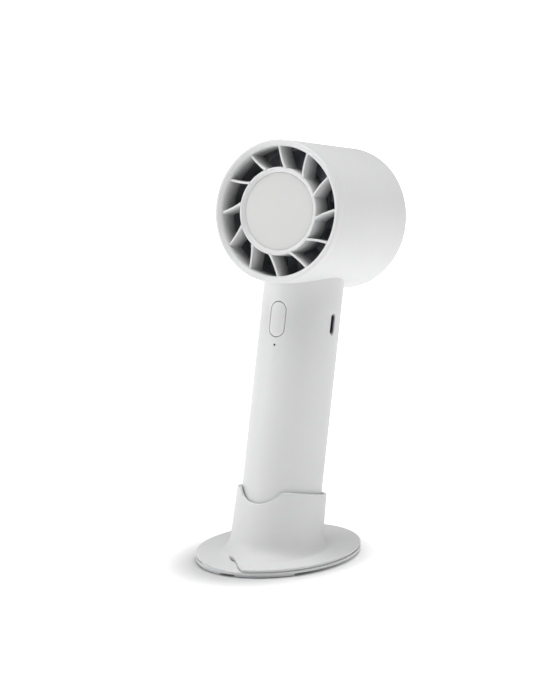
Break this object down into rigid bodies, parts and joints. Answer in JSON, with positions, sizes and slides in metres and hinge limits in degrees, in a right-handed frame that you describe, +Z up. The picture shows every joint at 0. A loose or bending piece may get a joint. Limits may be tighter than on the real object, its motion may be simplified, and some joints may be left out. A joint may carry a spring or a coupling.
{
  "type": "handheld electric fan",
  "caption": "Handheld fan with a barrel head, guide vanes and an oval handle, leaning in a cradle stand.",
  "frame": {"origin": "centre of the stand's oval base on the surface it stands on", "axes": "+Z up, the air leaves towards -Y, +X to the right seen from the front, on the charging port's side"},
  "size_m": [0.0674, 0.1093, 0.1878],
  "materials": {
    "white_shell": "satin, very fine moulded texture",
    "hub_disc": "satin",
    "button_cap": "satin",
    "dark_impeller": "satin",
    "foot_rubber": "matte",
    "screw_steel": "plated",
    "shaft_steel": "ground",
    "frame_plastic": "matte",
    "cell_wrap": "shrink wrap",
    "nickel": "satin",
    "circuit_board": "solder mask",
    "gold_pins": "plated",
    "switch_black": "matte",
    "lamp": "gloss",
    "clear_pipe": "clear",
    "port_steel": "plated",
    "magnet": "satin",
    "bell_steel": "plated",
    "laminations": "stacked sheets",
    "copper": "enamelled copper wire",
    "lead_insulation": "extruded"
  },
  "bodies": {
    "stand": {"stand_cover": "white_shell", "stand_base_plate": "white_shell", "rubber_feet": "foot_rubber", "stand_screws": "screw_steel"},
    "fan": {"handle_shell": "white_shell", "end_cap": "white_shell", "head_barrel": "white_shell", "front_grille": "white_shell", "rear_grille": "white_shell", "hub_cap": "hub_disc", "end_cap_screws": "screw_steel", "board_screws": "screw_steel", "motor_screws": "screw_steel", "motor_bearings": "shaft_steel", "inner_frame": "frame_plastic", "motor_base": "frame_plastic", "duct_liner": "frame_plastic", "battery_cell": "cell_wrap", "battery_tabs": "nickel", "main_board": "circuit_board", "switch_board": "circuit_board", "motor_board": "circuit_board", "board_pins": "gold_pins", "tact_switch": "switch_black", "status_led": "lamp", "led_light_pipe": "clear_pipe", "usb_c_receptacle": "port_steel", "stator_core": "laminations", "stator_coils": "copper", "battery_leads": "lead_insulation", "motor_leads": "lead_insulation"},
    "impeller": {"impeller": "dark_impeller", "rotor_bell": "bell_steel", "magnet_ring": "magnet", "motor_shaft": "shaft_steel", "shaft_clip": "shaft_steel"},
    "button": {"power_button": "button_cap", "tact_plunger": "switch_black"}
  },
  "joints": [
    {"name": "fan_lift", "type": "slide", "parent": "stand", "child": "fan", "axis": [0, 0.2045, 0.9789], "range_m": [0, 0.03]},
    {"name": "impeller_spin", "type": "hinge", "parent": "fan", "child": "impeller", "pos_m": [0, 0.02825, 0.15055], "axis": [0, -0.9789, 0.2045], "continuous": true},
    {"name": "button_press", "type": "slide", "parent": "fan", "child": "button", "axis": [0, 0.9789, -0.2045], "range_m": [0, 0.0005], "stiffness_N_per_m": 3000, "springref_m": -0.0003}
  ]
}
